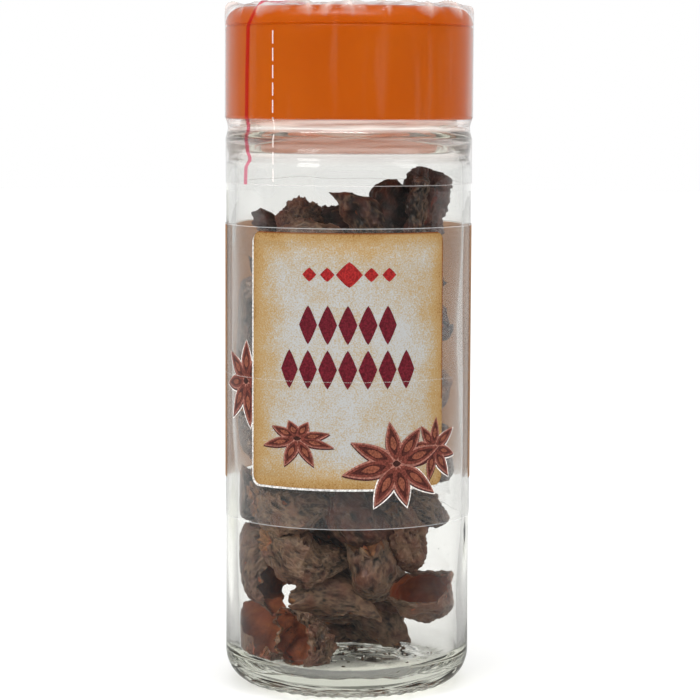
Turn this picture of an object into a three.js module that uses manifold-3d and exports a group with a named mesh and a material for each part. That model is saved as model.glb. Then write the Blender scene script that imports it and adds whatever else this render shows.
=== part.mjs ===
// Shut glass spice jar of star anise. Millimetres, +Z up, label towards -Y.
// The origin is the middle of the foot ring's plane. From the inside out: a loose heap of broken
// star anise carpels, the blown glass jar, the wrap-round clear label, the moulded screw cap, and
// the clear shrink sleeve that seals the cap to the glass.
import * as THREE from "three";
import { mergeVertices } from "three/addons/utils/BufferGeometryUtils.js";
import Module from "manifold-3d";

const wasm = await Module();
wasm.setup();

// ---- Driving dimensions ----
const TURN_STEPS = 36; // facets round every turned piece

const GLASS_R = 20.7; // outside of the jar's wall
const WALL = 1.6;
const FOOT_R = 15.6; // outer edge of the ring that the jar stands on
const FOOT_WIDTH = 2.4;
const HEEL_HEIGHT = 5.6;
const PUNT_RISE = 1.8; // the foot's hollow underside
const FLOOR_Z = 3.9; // inside floor at its edge
const FLOOR_DOME = 1.2; // extra height of the inside floor at its middle
const NOTCH_Z = 89.6; // shallow groove under the shoulder bead
const NOTCH_DEPTH = 0.4;
const NOTCH_HALF = 1.9; // half the groove's height
const SHOULDER_Z = 94.6; // top of the shoulder bead
const BEAD_R = 1.7;
const NECK_R = 18.3;
const BORE_R = 15.9;
const NECK_TOP_Z = 112.7;
const INNER_HEEL_R = 3.2;
const INNER_SHOULDER_Z = 89.2; // where the inside starts to close in towards the bore
const INNER_SHOULDER_RISE = 4.6;

const CAP_R = 20.8;
const CAP_BOTTOM_Z = 95.8;
const CAP_TOP_Z = 114.4;
const CAP_WALL = 1.4;
const CAP_EDGE_R = 2.9; // rounding between side and top
const SEAM_Z = 111.3; // fine groove where the rounded lid starts
const SEAM_DEPTH = 0.3;

const LABEL_BOTTOM_Z = 29;
const LABEL_TOP_Z = 78.3;
const FILM = 0.12; // thickness of label and sleeve
const FILM_GAP = 0.06; // air that is left between turned neighbours

const SLEEVE_BOTTOM_Z = 85.1;
const SLEEVE_EYE_R = 9; // the sleeve leaves the middle of the cap open
const PLEATS = 13; // gathers where the sleeve shrinks over the cap's edge
const PLEAT_HEIGHT = 1.3;

const POD_CLEARANCE = 0.35; // between the heap and the glass
const POD_WALL = 0.85;

// ---- Turned pieces ----

// Points on an elliptic arc in the (radius, height) plane, angles in degrees.
function arc(centreR, centreZ, radiusR, radiusZ, from, to, steps) {
  return Array.from({ length: steps + 1 }, (_, i) => {
    const angle = THREE.MathUtils.degToRad(from + ((to - from) * i) / steps);
    return [centreR + radiusR * Math.cos(angle), centreZ + radiusZ * Math.sin(angle)];
  });
}

// Turns a profile of [radius, height] points round the Z axis.
function turned(profile) {
  const points = profile.map(([r, z]) => new THREE.Vector2(r, z));
  return new THREE.LatheGeometry(points, TURN_STEPS).rotateX(Math.PI / 2);
}

function jarGeometry() {
  const inside = GLASS_R - WALL;
  const heel = arc(FOOT_R, HEEL_HEIGHT, GLASS_R - FOOT_R, HEEL_HEIGHT, -90, 0, 4);
  const bead = arc(GLASS_R - BEAD_R, SHOULDER_Z - BEAD_R, BEAD_R, BEAD_R, 0, 90, 2);
  const innerShoulder = arc(BORE_R, INNER_SHOULDER_Z, inside - BORE_R, INNER_SHOULDER_RISE, 90, 0, 3);
  const heelIn = INNER_HEEL_R;
  const innerHeel = arc(inside - heelIn, FLOOR_Z + heelIn, heelIn, heelIn, 0, -90, 2);
  return turned([
    [0, PUNT_RISE],
    [FOOT_R * 0.55, PUNT_RISE * 0.8],
    [FOOT_R - FOOT_WIDTH, 0],
    ...heel,
    [GLASS_R, NOTCH_Z - NOTCH_HALF],
    [GLASS_R - NOTCH_DEPTH, NOTCH_Z],
    [GLASS_R, NOTCH_Z + NOTCH_HALF],
    ...bead,
    [NECK_R, SHOULDER_Z],
    [NECK_R, NECK_TOP_Z],
    [BORE_R, NECK_TOP_Z],
    ...innerShoulder,
    ...innerHeel,
    [inside - 9, FLOOR_Z + FLOOR_DOME * 0.7],
    [0, FLOOR_Z + FLOOR_DOME],
  ]);
}

function capGeometry() {
  const inside = CAP_R - CAP_WALL;
  const underTop = CAP_TOP_Z - CAP_WALL;
  const edge = arc(CAP_R - CAP_EDGE_R, CAP_TOP_Z - CAP_EDGE_R, CAP_EDGE_R, CAP_EDGE_R, 0, 90, 3);
  return turned([
    [0, underTop],
    [inside - 1.4, underTop],
    [inside, underTop - 1.4],
    [inside, CAP_BOTTOM_Z],
    [CAP_R, CAP_BOTTOM_Z],
    [CAP_R, SEAM_Z - 0.3],
    [CAP_R - SEAM_DEPTH, SEAM_Z],
    ...edge,
    [0, CAP_TOP_Z],
  ]);
}

function labelGeometry() {
  const inner = GLASS_R + FILM_GAP;
  return turned([
    [inner, LABEL_BOTTOM_Z],
    [inner + FILM, LABEL_BOTTOM_Z],
    [inner + FILM, LABEL_TOP_Z],
    [inner, LABEL_TOP_Z],
    [inner, LABEL_BOTTOM_Z],
  ]);
}

// The sleeve hugs glass and cap, bridges the groove and the gap under the cap, and gathers in pleats
// over the cap's edge.
function sleeveGeometry() {
  const onGlass = GLASS_R + FILM_GAP;
  const onCap = CAP_R + FILM_GAP;
  const roundEdge = CAP_EDGE_R + FILM_GAP;
  const skin = [
    [onGlass, SLEEVE_BOTTOM_Z],
    [onGlass, SHOULDER_Z - BEAD_R + 0.4],
    [onCap, CAP_BOTTOM_Z - 0.5],
    ...arc(CAP_R - CAP_EDGE_R, CAP_TOP_Z - CAP_EDGE_R, roundEdge, roundEdge, 0, 90, 3),
    [(CAP_R + SLEEVE_EYE_R) / 2, CAP_TOP_Z + FILM_GAP],
    [SLEEVE_EYE_R, CAP_TOP_Z + FILM_GAP],
  ];
  const outwards = skin.map(([r, z], i) => {
    const [ra, za] = skin[Math.max(i - 1, 0)];
    const [rb, zb] = skin[Math.min(i + 1, skin.length - 1)];
    const length = Math.hypot(rb - ra, zb - za);
    return [r + (FILM * (zb - za)) / length, z - (FILM * (rb - ra)) / length];
  });
  return pleated(turned([...outwards, ...skin.reverse(), outwards[0]]));
}

// Lifts the sleeve in uneven gathers, strongest at the top's edge and gone at the side.
function pleated(geometry) {
  const places = geometry.getAttribute("position");
  const crown = CAP_TOP_Z - CAP_EDGE_R;
  for (let i = 0; i < places.count; i += 1) {
    const [x, y, z] = [places.getX(i), places.getY(i), places.getZ(i)];
    const share = THREE.MathUtils.clamp((z - crown) / CAP_EDGE_R, 0, 1);
    const angle = Math.atan2(y, x);
    const gather = 0.5 + 0.5 * Math.sin(PLEATS * angle + 1.7 * Math.sin(2 * angle));
    places.setZ(i, z + PLEAT_HEIGHT * share ** 3 * gather);
  }
  return geometry;
}

// ---- Star anise carpels ----

// A small seeded generator, so that every run lays the same heap.
function seeded(seed) {
  let state = seed;
  return () => {
    state = (state + 0x6d2b79f5) >>> 0;
    let t = Math.imul(state ^ (state >>> 15), 1 | state);
    t = (t + Math.imul(t ^ (t >>> 7), 61 | t)) ^ t;
    return ((t ^ (t >>> 14)) >>> 0) / 4294967296;
  };
}

// How far a carpel swells at u, from 0 at the torn base to 1 at the beak: `blunt` is the share it
// has at the base, and it is fullest at `crest`.
function swell(u, blunt, crest, taper) {
  const rise = blunt + (1 - blunt) * Math.sin((Math.PI / 2) * Math.min(u / crest, 1));
  const fall = Math.max(u - crest, 0) / (1 - crest);
  return rise * (1 - fall ** taper);
}

// One station of a carpel at u: place along the length, half breadth, depth under the seam, and
// height of the seam, which dips in the middle and turns up at the beak.
function station(u, [length, height, breadth]) {
  return {
    x: length * (u - 0.5),
    half: (breadth / 2) * swell(u, 0.74, 0.32, 2.2) + 0.15,
    depth: height * swell(u, 0.7, 0.36, 2.6) + 0.3,
    seam: height * (0.4 + 0.3 * (u - 0.45) ** 2 + 0.12 * u ** 5),
  };
}

// The section of one valve pair, from lip to lip round the keel. Each valve turns outwards about the
// keel by the gape, and the skin is set in by `inset` for the hollow inside.
function section(u, pod, inset, points) {
  const s = station(u, pod.size);
  const half = Math.max(s.half - inset, s.half * 0.15);
  const depth = Math.max(s.depth - inset, s.depth * 0.3);
  const keel = s.seam - s.depth;
  const gape = THREE.MathUtils.degToRad(pod.gape) * Math.min(1, 0.25 + 2.2 * u);
  const reach = inset > 0 ? 0.9 : 1;
  return Array.from({ length: points }, (_, i) => {
    const t = -1 + (2 * i) / (points - 1);
    const a = t * Math.PI * reach;
    const waist = 1 - 0.3 * ((1 - Math.cos(a)) / 2) ** 2;
    const side = half * Math.sin(a) * waist;
    const up = s.seam - (depth * (1 + Math.cos(a))) / 2 - keel;
    const turn = gape * Math.sign(t || 0);
    return [
      s.x,
      side * Math.cos(turn) + up * Math.sin(turn),
      keel + up * Math.cos(turn) - side * Math.sin(turn),
    ];
  });
}

// A carpel as a closed solid in its own frame: beak towards +X, seam up. A shut one is a plain
// lens-shaped body; a split one is a hollow boat with lips.
function podSolid(pod) {
  const split = pod.gape > 0;
  const stations = split ? [0, 0.16, 0.36, 0.6, 0.82, 1] : [0, 0.3, 0.6, 0.84, 1];
  const sides = 7;
  const rows = stations.map((u) => {
    if (!split) return section(u, pod, 0, sides + 1).slice(0, sides);
    const inner = section(u, pod, POD_WALL, sides).reverse();
    return [...section(u, pod, 0, sides), ...inner];
  });
  const around = rows[0].length;
  const vertices = rows.flat();
  const faces = [];
  const quad = (a, b, c, d) => faces.push([a, b, c], [a, c, d]);
  for (let r = 0; r < rows.length - 1; r += 1)
    for (let i = 0; i < around; i += 1) {
      const j = (i + 1) % around;
      quad(r * around + i, r * around + j, (r + 1) * around + j, (r + 1) * around + i);
    }
  const last = (rows.length - 1) * around;
  if (split) {
    for (let i = 0; i < sides - 1; i += 1) {
      const [a, b, c, d] = [i, i + 1, around - 2 - i, around - 1 - i];
      quad(a, d, c, b);
      quad(last + a, last + b, last + c, last + d);
    }
  } else {
    for (let i = 1; i < around - 1; i += 1) {
      faces.push([0, i + 1, i], [last, last + i, last + i + 1]);
    }
  }
  return { vertices, faces };
}

// Turns a carpel about its length, aims its beak, and sets it down inside the jar.
function podPlace({ at, aim }) {
  const [heading, rise, roll] = aim.map(THREE.MathUtils.degToRad);
  return new THREE.Matrix4()
    .makeTranslation(...at)
    .multiply(new THREE.Matrix4().makeRotationZ(heading))
    .multiply(new THREE.Matrix4().makeRotationY(-rise))
    .multiply(new THREE.Matrix4().makeRotationX(roll));
}

// Draws a point in from the glass and up from the floor to where it clears both.
function keptInside(point) {
  const limit = GLASS_R - WALL - POD_CLEARANCE;
  const heel = THREE.MathUtils.clamp((FLOOR_Z + INNER_HEEL_R - point.z) / INNER_HEEL_R, 0, 1);
  const room = limit - INNER_HEEL_R * (1 - Math.sqrt(1 - heel ** 2));
  const radius = Math.hypot(point.x, point.y);
  if (radius > room) point.multiply(new THREE.Vector3(room / radius, room / radius, 1));
  const share = 1 - Math.min(Math.hypot(point.x, point.y) / (GLASS_R - WALL), 1);
  point.z = Math.max(point.z, FLOOR_Z + FLOOR_DOME * share + POD_CLEARANCE);
  return point;
}

function manifoldOf(vertices, faces) {
  const geometry = new THREE.BufferGeometry()
    .setAttribute("position", new THREE.Float32BufferAttribute(vertices.flat(), 3))
    .setIndex(faces.flat());
  const merged = mergeVertices(geometry, 1e-3);
  const index = [];
  for (let i = 0; i < merged.index.count; i += 3) {
    const [a, b, c] = [0, 1, 2].map((k) => merged.index.getX(i + k));
    if (a !== b && b !== c && a !== c) index.push(a, b, c);
  }
  const mesh = new wasm.Mesh({
    numProp: 3,
    vertProperties: merged.getAttribute("position").array,
    triVerts: new Uint32Array(index),
  });
  return new wasm.Manifold(mesh);
}

// Carpels that lie against the glass where it is clear. `at` is the middle of the carpel. `aim` is its
// heading, rise and roll in degrees: heading 0 points the beak to +X and 90 to +Y, rise tips the beak
// up, and roll turns the seam about the length, 90 bringing it to the right-hand side of the beak's
// way. `size` is length, height and breadth, and `gape` how far each valve has split open, in degrees.
const LAID_PODS = [
  // the floor of the jar
  { at: [-13.0, -8.4, 9.9], aim: [10, 48, 84], size: [12, 8.4, 7], gape: 44 },
  { at: [-5.4, -12.4, 9.8], aim: [345, -66, 60], size: [13, 7.4, 6], gape: 30 },
  { at: [2.4, -3.0, 9.4], aim: [5, -4, 200], size: [15, 6, 6], gape: 0 },
  { at: [-3.6, 9.6, 9.0], aim: [165, 12, 40], size: [15, 8, 6.4], gape: 20 },
  // second course
  { at: [-2.6, -10.4, 15.6], aim: [2, -14, 350], size: [15, 7, 5.6], gape: 0 },
  { at: [12.2, -6.8, 15.4], aim: [172, -2, 264], size: [13.4, 8, 7], gape: 24 },
  { at: [9.4, -2.6, 12.6], aim: [40, 20, 120], size: [13, 7, 6], gape: 0 },
  { at: [-14.4, -8.0, 20.8], aim: [20, -78, 46], size: [14, 8.4, 7], gape: 14 },
  { at: [4.2, -11.4, 19.8], aim: [350, -78, 96], size: [12, 7, 7.4], gape: 5 },
  // third course, half behind the label's lower edge
  { at: [-6.4, -13.4, 23.5], aim: [4, -15, 20], size: [15.4, 7.4, 6], gape: 0 },
  { at: [10.0, -10.0, 24.0], aim: [350, -72, 20], size: [12.6, 7.8, 7], gape: 0 },
  { at: [3.0, -12.2, 28.6], aim: [6, -48, 10], size: [15, 8, 6.4], gape: 0 },
  { at: [-8.6, -13.4, 31.4], aim: [2, -6, 30], size: [16.4, 8, 6.4], gape: 0 },
  { at: [13.6, -6.6, 30.6], aim: [330, -30, 330], size: [13, 7.4, 6], gape: 0 },
  // where the label leaves the glass clear at the sides
  { at: [-15.6, -5.4, 62.4], aim: [250, -84, 40], size: [16, 7.4, 6], gape: 14 },
  { at: [-15.2, -6.0, 43.0], aim: [160, 10, 60], size: [12, 7, 6], gape: 0 },
  { at: [14.0, -3.0, 37.6], aim: [20, -8, 90], size: [13, 7.2, 6], gape: 0 },
  // the top of the heap
  { at: [-11.4, -3.0, 78.0], aim: [358, -36, 10], size: [11, 4.4, 4], gape: 0 },
  { at: [-7.8, -6.0, 79.0], aim: [70, -30, 330], size: [10, 7.6, 7], gape: 0 },
  { at: [-3.6, -3.0, 78.6], aim: [196, -14, 20], size: [13, 8, 6], gape: 0 },
  { at: [2.4, -10.6, 80.0], aim: [184, 42, 340], size: [14, 7.2, 6.4], gape: 0 },
  { at: [2.6, -3.4, 80.0], aim: [20, 14, 60], size: [12, 7.6, 6.6], gape: 22 },
  { at: [6.4, -6.2, 80.6], aim: [290, -66, 20], size: [12, 8, 7], gape: 0 },
  { at: [10.6, -9.0, 81.4], aim: [15, -80, 250], size: [13, 7.6, 6.6], gape: 0 },
  { at: [14.0, -3.6, 82.6], aim: [240, -76, 40], size: [12, 8.6, 7], gape: 0 },
  { at: [7.0, 7.0, 79.6], aim: [200, 16, 30], size: [15, 8, 6.4], gape: 20 },
  { at: [-6.4, 9.0, 77.4], aim: [330, 10, 340], size: [15, 8, 6.4], gape: 0 },
];

// Carpels that fill the rest of the jar: courses of pods round the middle, each turned on from the
// one below and jogged at random. The front of the lowest courses is left to the carpels laid above.
const COURSES = 9;
const FIRST_COURSE_Z = 9.6;
const COURSE_RISE = 8.1;
const PODS_A_COURSE = 6;
const FRONT_LAID_TO_Z = 34;

function filledPods() {
  const random = seeded(31);
  const between = (low, high) => low + (high - low) * random();
  const pods = [];
  for (let course = 0; course < COURSES; course += 1)
    for (let i = 0; i < PODS_A_COURSE; i += 1) {
      const round = (360 / PODS_A_COURSE) * i + 23 * course + between(-12, 12);
      const angle = THREE.MathUtils.degToRad(round);
      const z = FIRST_COURSE_Z + COURSE_RISE * course + between(-1.5, 1.5);
      const pod = {
        at: [12.2 * Math.cos(angle), 12.2 * Math.sin(angle), z],
        aim: [round + 90 + between(-35, 35), between(-48, 48), between(0, 360)],
        size: [between(13, 16), between(7, 8.8), between(5.8, 7)],
        gape: 0,
      };
      if (z > FRONT_LAID_TO_Z || Math.sin(angle) > 0.1) pods.push(pod);
    }
  return pods;
}

// A lumpy column up the middle that the carpels are fused to.
const CORE_BOTTOM_Z = 6.4;
const CORE_TOP_Z = 78;
const CORE_R = 9.6;
const CORE_RINGS = 11;
const CORE_SIDES = 8;

function coreSolid() {
  const vertices = [[0, 0, CORE_BOTTOM_Z]];
  for (let ring = 0; ring < CORE_RINGS; ring += 1)
    for (let side = 0; side < CORE_SIDES; side += 1) {
      const share = ring / (CORE_RINGS - 1);
      const angle = (2 * Math.PI * (side + 0.5 * (ring % 2))) / CORE_SIDES;
      const lump = 0.9 + 0.1 * Math.sin(5 * ring + 3 * side);
      const radius = CORE_R * lump * (0.6 + 0.4 * Math.sin(Math.PI * share) ** 0.5);
      const z = CORE_BOTTOM_Z + 1 + (CORE_TOP_Z - CORE_BOTTOM_Z - 2) * share;
      vertices.push([radius * Math.cos(angle), radius * Math.sin(angle), z]);
    }
  vertices.push([0, 0, CORE_TOP_Z]);
  const at = (ring, side) => 1 + ring * CORE_SIDES + (side % CORE_SIDES);
  const faces = [];
  for (let side = 0; side < CORE_SIDES; side += 1) {
    faces.push([0, at(0, side + 1), at(0, side)]);
    faces.push([vertices.length - 1, at(CORE_RINGS - 1, side), at(CORE_RINGS - 1, side + 1)]);
    for (let ring = 0; ring < CORE_RINGS - 1; ring += 1) {
      faces.push([at(ring, side), at(ring, side + 1), at(ring + 1, side + 1)]);
      faces.push([at(ring, side), at(ring + 1, side + 1), at(ring + 1, side)]);
    }
  }
  return { vertices, faces };
}

function heapGeometry() {
  const core = coreSolid();
  let heap = manifoldOf(core.vertices, core.faces);
  for (const pod of [...LAID_PODS, ...filledPods()]) {
    const solid = podSolid(pod);
    const place = podPlace(pod);
    const vertices = solid.vertices.map((v) =>
      keptInside(new THREE.Vector3(...v).applyMatrix4(place)).toArray(),
    );
    heap = heap.add(manifoldOf(vertices, solid.faces));
  }
  const bodies = heap.decompose().sort((a, b) => b.volume() - a.volume());
  const mesh = bodies[0].getMesh();
  return new THREE.BufferGeometry()
    .setAttribute("position", new THREE.BufferAttribute(mesh.vertProperties, 3))
    .setIndex(new THREE.BufferAttribute(mesh.triVerts, 1));
}

// ---- The jar ----

function piece(name, geometry, finish) {
  geometry.computeVertexNormals();
  const mesh = new THREE.Mesh(geometry, new THREE.MeshStandardMaterial(finish));
  mesh.name = name;
  return mesh;
}

const spiceJar = new THREE.Group();
spiceJar.add(
  piece("jar", jarGeometry(), {
    color: 0xdfe4de,
    roughness: 0.05,
    metalness: 0,
    transparent: true,
    opacity: 0.3,
  }),
  piece("cap", capGeometry(), { color: 0xd5691a, roughness: 0.35, metalness: 0 }),
  piece("star_anise_heap", heapGeometry(), { color: 0x4a2c1f, roughness: 0.8, metalness: 0 }),
  piece("label", labelGeometry(), { color: 0xcdb48a, roughness: 0.5, metalness: 0 }),
  piece("seal_sleeve", sleeveGeometry(), {
    color: 0xf3eeec,
    roughness: 0.1,
    metalness: 0,
    transparent: true,
    opacity: 0.25,
  }),
);

export default spiceJar;
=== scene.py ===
import math

import bmesh
import bpy
import numpy as np
from mathutils import Matrix, Vector, noise


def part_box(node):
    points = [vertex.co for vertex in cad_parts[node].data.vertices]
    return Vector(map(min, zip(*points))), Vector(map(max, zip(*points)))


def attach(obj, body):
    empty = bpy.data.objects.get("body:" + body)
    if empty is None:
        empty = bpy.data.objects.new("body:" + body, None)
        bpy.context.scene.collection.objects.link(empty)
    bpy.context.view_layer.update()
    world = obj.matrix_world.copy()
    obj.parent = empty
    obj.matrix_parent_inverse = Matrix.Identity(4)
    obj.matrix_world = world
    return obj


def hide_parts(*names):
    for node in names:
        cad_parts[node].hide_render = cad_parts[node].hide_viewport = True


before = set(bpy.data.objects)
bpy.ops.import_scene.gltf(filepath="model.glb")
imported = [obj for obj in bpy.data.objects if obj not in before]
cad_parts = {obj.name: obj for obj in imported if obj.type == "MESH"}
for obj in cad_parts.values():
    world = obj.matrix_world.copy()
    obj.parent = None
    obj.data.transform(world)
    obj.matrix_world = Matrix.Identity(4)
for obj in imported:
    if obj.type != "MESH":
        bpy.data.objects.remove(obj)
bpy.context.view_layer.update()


# ---- The glass jar ----
# Blown and pressed clear glass with a faint green-grey cast: a hollow foot that stands on a ring with
# fine bearing ridges, a soft heel, a straight wall, a groove under the shoulder bead, and a neck.
MM = 0.001
FOOT_R = 15.6 * MM
FOOT_WIDTH = 2.4 * MM
HEEL_HEIGHT = 5.6 * MM
PUNT_RISE = 1.8 * MM
FLOOR_Z = 3.9 * MM
FLOOR_DOME = 1.2 * MM
GLASS_WALL = 1.6 * MM
GLASS_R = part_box("jar")[1].x
NECK_TOP_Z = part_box("jar")[1].z
INSIDE_R = GLASS_R - GLASS_WALL
INNER_HEEL_R = 3.2 * MM
NOTCH_Z = 89.6 * MM
NOTCH_DEPTH = 0.4 * MM
NOTCH_HALF = 1.9 * MM
SHOULDER_Z = 94.6 * MM
BEAD_R = 1.7 * MM
NECK_R = 18.3 * MM
NECK_FILLET = 0.4 * MM
BORE_R = 15.9 * MM
INNER_SHOULDER_Z = 89.2 * MM
INNER_SHOULDER_RISE = 4.6 * MM
UNEVEN_TO_Z = 90 * MM
UNEVEN_FADE = 8 * MM
WALL_SWAY = 0.16 * MM
FLOOR_SWELL = 0.5 * MM
FLOOR_RIPPLE = 0.2 * MM
BEARING_RIDGES = 44
BEARING_RIDGE_DEPTH = 0.16 * MM
BEARING_WIDTH = 4 * MM
JAR_SEGMENTS = 352


def arc(centre_r, centre_z, radius_r, radius_z, start, end, steps):
    """Points on an elliptic arc in the (radius, height) plane, angles in degrees."""
    angles = np.radians(np.linspace(start, end, steps + 1))
    return [(centre_r + radius_r * math.cos(a), centre_z + radius_z * math.sin(a)) for a in angles]


def line(start, end, steps):
    """Evenly spaced (radius, height) points from start to end, both left out."""
    shares = np.linspace(0, 1, steps + 2)[1:-1]
    return [tuple((1 - s) * a + s * b for a, b in zip(start, end)) for s in shares]


def in_scene(name, data):
    """An object made from a mesh, a lamp or a camera, and put in the scene."""
    thing = bpy.data.objects.new(name, data)
    bpy.context.scene.collection.objects.link(thing)
    return thing


def new_piece(name, shape, materials, smooth=True):
    """A mesh object from its vertices and faces, in these materials, shaded smooth or flat."""
    vertices, faces = shape
    mesh = bpy.data.meshes.new(name)
    mesh.from_pydata([tuple(v) for v in vertices], [], [tuple(int(i) for i in f) for f in faces])
    mesh.polygons.foreach_set("use_smooth", [smooth] * len(mesh.polygons))
    for mat in materials:
        mesh.materials.append(mat)
    return in_scene(name, mesh)


def turned(profile, segments):
    """Vertices and faces of a profile turned round Z. A first or last point on the axis is closed."""
    vertices, rings = [], []
    for radius, height in profile:
        if radius < 1e-9:
            rings.append([len(vertices)])
            vertices.append((0.0, 0.0, height))
            continue
        rings.append(list(range(len(vertices), len(vertices) + segments)))
        angles = 2 * math.pi * np.arange(segments) / segments
        vertices += [(radius * math.sin(a), -radius * math.cos(a), height) for a in angles]
    faces = []
    for low, high in zip(rings, rings[1:]):
        for i in range(segments):
            j = (i + 1) % segments
            if len(low) == 1:
                faces.append((low[0], high[j], high[i]))
            elif len(high) == 1:
                faces.append((low[i], low[j], high[0]))
            else:
                faces.append((low[i], low[j], high[j], high[i]))
    return vertices, faces


def drawn_in(z):
    """How far the groove under the shoulder draws the wall in at height z, outside and inside alike."""
    off = (z - NOTCH_Z) / NOTCH_HALF
    return NOTCH_DEPTH * math.cos(math.pi / 2 * off) ** 2 if abs(off) < 1 else 0.0


def jar_profile():
    """The glass from under the middle of the foot up the outside, and down the inside to its floor."""
    punt_edge = (FOOT_R - FOOT_WIDTH, 0.0)
    punt = [
        (r, PUNT_RISE * math.cos(math.pi / 2 * r / punt_edge[0]) ** 0.6)
        for r in np.linspace(0, punt_edge[0], 12)[:-1]
    ]
    heel = arc(FOOT_R, HEEL_HEIGHT, GLASS_R - FOOT_R, HEEL_HEIGHT, -90, 0, 14)
    groove_heights = np.linspace(NOTCH_Z - NOTCH_HALF, NOTCH_Z + NOTCH_HALF, 13)
    groove = [(GLASS_R - drawn_in(z), z) for z in groove_heights]
    wall = line(heel[-1], groove[0], 24)
    bead = arc(GLASS_R - BEAD_R, SHOULDER_Z - BEAD_R, BEAD_R, BEAD_R, 0, 90, 8)
    neck_foot = arc(NECK_R + NECK_FILLET, SHOULDER_Z + NECK_FILLET, NECK_FILLET, NECK_FILLET, 270, 180, 4)
    mouth = [(NECK_R, NECK_TOP_Z), (BORE_R, NECK_TOP_Z)]
    shoulder = arc(BORE_R, INNER_SHOULDER_Z, INSIDE_R - BORE_R, INNER_SHOULDER_RISE, 90, 0, 12)
    floor_edge_r = INSIDE_R - INNER_HEEL_R
    heel_in = arc(floor_edge_r, FLOOR_Z + INNER_HEEL_R, INNER_HEEL_R, INNER_HEEL_R, 0, -90, 8)
    groove_low = (INSIDE_R, NOTCH_Z - NOTCH_HALF)
    wall_in = line(shoulder[-1], groove_low, 6) + [groove_low] + line(groove_low, heel_in[0], 24)
    upper_in = [(r - drawn_in(z), z) for r, z in shoulder + wall_in]
    dome = [
        (r, FLOOR_Z + FLOOR_DOME * math.cos(math.pi / 2 * r / floor_edge_r))
        for r in np.linspace(floor_edge_r, 0, 40)[1:]
    ]
    return punt + [punt_edge] + heel + wall + groove + bead + neck_foot + mouth + upper_in + heel_in + dome


def uneven_glass(x, y, z):
    """Blown glass is never true: the inside wanders a little, most over the floor, and the heel's
    underside has pressed ridges that keep the hot glass off the belt."""
    radius, angle = math.hypot(x, y), math.atan2(x, -y)
    inside = radius < INSIDE_R + 0.3 * MM and z > FLOOR_Z - 0.5 * MM
    if inside and z < UNEVEN_TO_Z:
        fade = min(1.0, (UNEVEN_TO_Z - z) / UNEVEN_FADE)
        sway = fade * noise.noise(Vector((x, y, 0.35 * z)) * 160) * WALL_SWAY
        floor = noise.noise(Vector((x, y, z)) * 260 + Vector((5, 1, 2))) * FLOOR_SWELL
        floor += noise.noise(Vector((x, y, z)) * 620 + Vector((2, 6, 1))) * FLOOR_RIPPLE
        low = max(0.0, 1 - (z - FLOOR_Z) / (4 * MM)) * min(1.0, (INSIDE_R - radius) / (5 * MM))
        return x * (1 + sway / INSIDE_R), y * (1 + sway / INSIDE_R), z + floor * low
    into_bearing = radius - (FOOT_R - 0.4 * MM)
    if 0 < into_bearing < BEARING_WIDTH and z < 2 * MM:
        share = math.sin(math.pi * into_bearing / BEARING_WIDTH)
        ridge = max(0.0, math.cos(BEARING_RIDGES * angle)) ** 2
        return x, y, z + BEARING_RIDGE_DEPTH * share * (1 - ridge)
    return x, y, z


def set_inputs(tree, node, inputs):
    """Sets a node's inputs, or wires them where the value is another node's output."""
    for label, value in inputs.items():
        if isinstance(value, bpy.types.NodeSocket):
            tree.links.new(value, node.inputs[label])
        else:
            node.inputs[label].default_value = value


def add_node(tree, kind, inputs=None, operation=None):
    """A node with its inputs set or wired."""
    node = tree.nodes.new("ShaderNode" + kind)
    if operation:
        node.operation = operation
    set_inputs(tree, node, inputs or {})
    return node


def new_material(name, inputs):
    """A material, its node tree and its Principled shader with these inputs."""
    mat = bpy.data.materials.new(name)
    mat.use_nodes = True
    shader = mat.node_tree.nodes["Principled BSDF"]
    set_inputs(mat.node_tree, shader, inputs)
    return mat, mat.node_tree, shader


def mix_shaders(tree, share, first, second):
    """The second shader by the given share, and otherwise the first."""
    return add_node(tree, "MixShader", {0: share, 1: first.outputs[0], 2: second.outputs[0]})


def show(tree, shader, part="Surface"):
    """Makes a shader the material's surface, or what fills it."""
    set_inputs(tree, tree.nodes["Material Output"], {part: shader.outputs[0]})


def glass_material():
    """Clear glass that tints faintly with its thickness and lets the lamps reach what is shut inside."""
    clear = {"Base Color": (0.93, 0.93, 0.92, 1), "Roughness": 0.0, "IOR": 1.5, "Transmission Weight": 1.0}
    mat, tree, glass = new_material("clear_glass", clear)
    passing = add_node(tree, "BsdfTransparent", {"Color": (0.88, 0.88, 0.845, 1)})
    in_shadow = add_node(tree, "LightPath").outputs["Is Shadow Ray"]
    show(tree, mix_shaders(tree, in_shadow, glass, passing))
    tint = add_node(tree, "VolumeAbsorption", {"Color": (0.54, 0.56, 0.42, 1), "Density": 24})
    show(tree, tint, "Volume")
    return mat


jar_vertices, jar_faces = turned(jar_profile(), JAR_SEGMENTS)
blown_shape = [uneven_glass(*v) for v in jar_vertices], jar_faces
glass_jar = new_piece("glass_jar", blown_shape, [glass_material()])
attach(glass_jar, "root")
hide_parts("jar")


# ---- The star anise carpels ----
# Dried star anise that has broken into its single carpels: each a woody boat of two valves, wrinkled
# and dark outside, smooth and red-brown inside, torn where it left the star and beaked at the tip.
HUSK_WALL = 0.85 * MM
CLEARANCE = 0.35 * MM
GRAIN_HEIGHT = 0.2 * MM

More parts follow.
